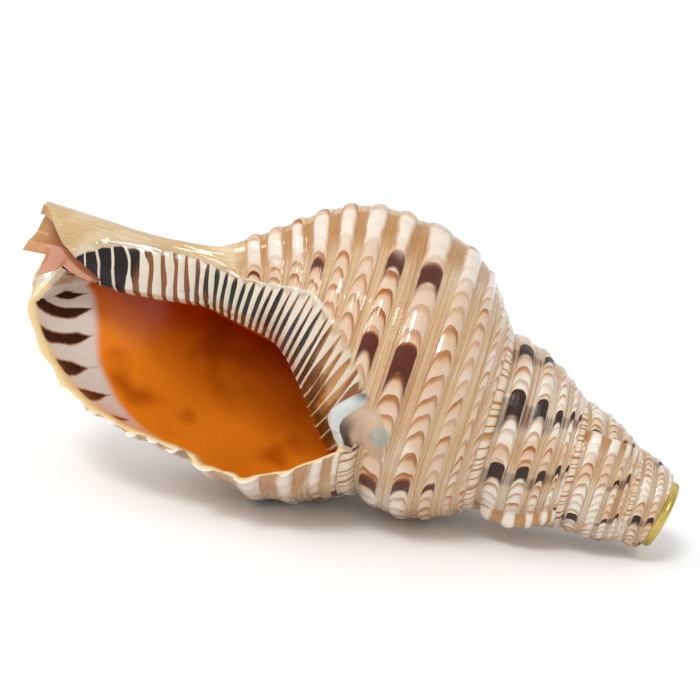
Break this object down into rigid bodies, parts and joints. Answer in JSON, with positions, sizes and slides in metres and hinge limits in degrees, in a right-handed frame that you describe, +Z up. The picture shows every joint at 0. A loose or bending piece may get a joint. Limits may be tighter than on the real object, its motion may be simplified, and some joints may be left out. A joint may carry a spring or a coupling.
{
  "type": "triton trumpet shell",
  "caption": "Large spiral sea shell made into a horn, lying with its aperture to the front, with a brass mouthpiece set into the ground-off spire.",
  "frame": {"origin": "middle of the bounding box at the height of the surface that the shell rests on", "axes": "+X along the shell towards the mouthpiece, -Y out of the aperture, +Z up"},
  "size_m": [0.317, 0.1404, 0.1424],
  "materials": {
    "shell": "glossy natural shell, cream with brown crescents, orange inside",
    "brass": "worn polish"
  },
  "bodies": {
    "root": {"shell": "shell", "mouthpiece": "brass"}
  },
  "joints": []
}
